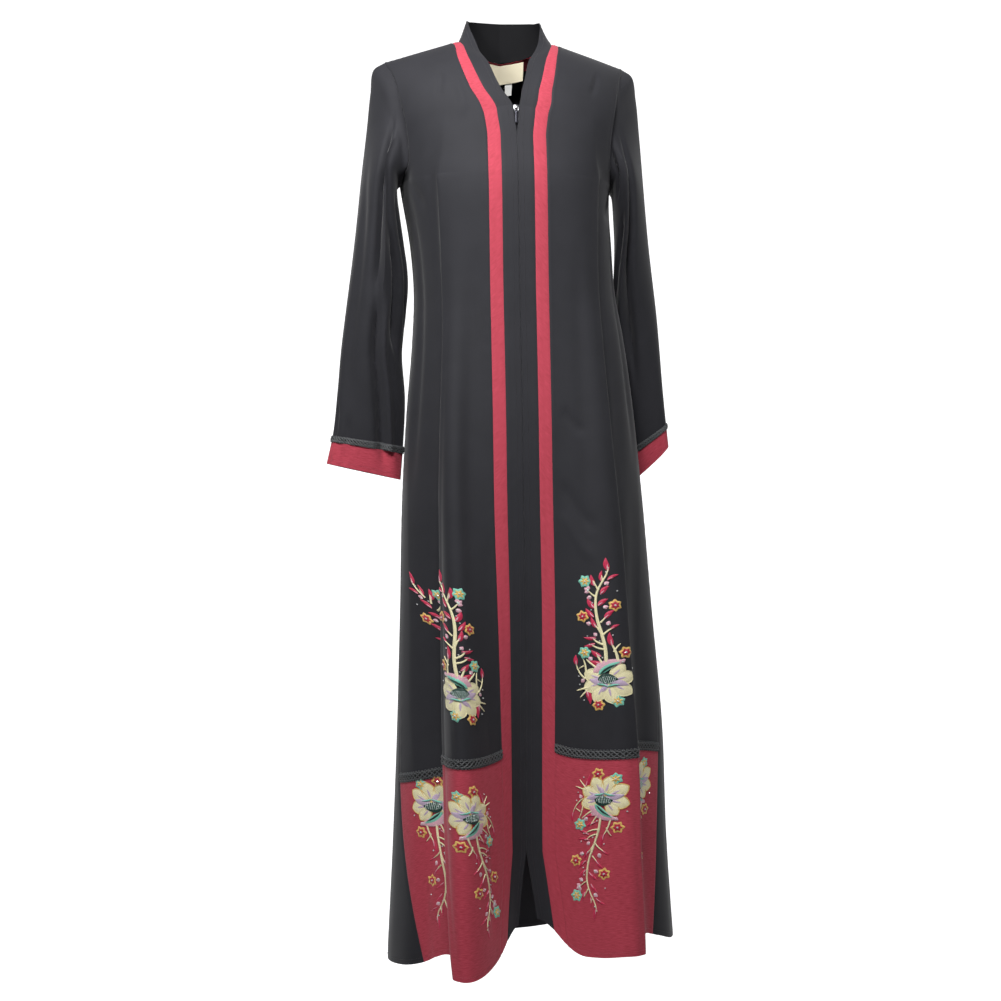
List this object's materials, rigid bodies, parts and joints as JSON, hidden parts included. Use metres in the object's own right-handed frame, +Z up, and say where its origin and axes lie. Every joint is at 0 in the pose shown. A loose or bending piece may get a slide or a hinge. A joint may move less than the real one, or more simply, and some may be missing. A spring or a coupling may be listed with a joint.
{
  "type": "abaya",
  "caption": "Full-length open-front abaya, filled out with no wearer, with a stand collar, contrast strips, hem panels and cuffs, and a front zip with a pull tab.",
  "frame": {"origin": "midway between the two points where the shoulder seams meet the neck", "axes": "+Z up; the front faces -Y and the wearer's left is +X"},
  "size_m": [0.5782, 0.3907, 1.5462],
  "materials": {
    "black_crepe": "matt black crepe with a faint grain",
    "maroon_weave": "matt maroon slub weave",
    "black_braid": "black braid with a soft sheen",
    "cream_satin": "cream woven satin label, left bare",
    "white_satin": "white satin tab, left bare",
    "dark_metal": "dark plated metal"
  },
  "bodies": {
    "garment": {"back": "black_crepe", "front_right": "black_crepe", "front_left": "black_crepe", "hem_panel_right": "maroon_weave", "hem_panel_left": "maroon_weave", "hem_braid_right": "black_braid", "hem_braid_left": "black_braid", "strip_right": "maroon_weave", "strip_left": "maroon_weave", "neck_strip_right": "maroon_weave", "neck_strip_left": "maroon_weave", "placket_right": "black_crepe", "placket_left": "black_crepe", "collar_right": "black_crepe", "collar_left": "black_crepe", "sleeve_right": "black_crepe", "sleeve_left": "black_crepe", "cuff_braid_right": "black_braid", "cuff_braid_left": "black_braid", "cuff_right": "maroon_weave", "cuff_left": "maroon_weave", "zip_tape": "black_crepe", "neck_label": "cream_satin", "size_tab": "white_satin", "zip_slider": "dark_metal"},
    "pull_tab": {"pull_tab": "dark_metal"}
  },
  "joints": [
    {"name": "pull_tab_hinge", "type": "hinge", "parent": "garment", "child": "pull_tab", "pos_m": [0.00307, -0.13245, -0.1307], "axis": [-0.9999, -0.0021, -0.0114], "range_deg": [0, 150]}
  ]
}
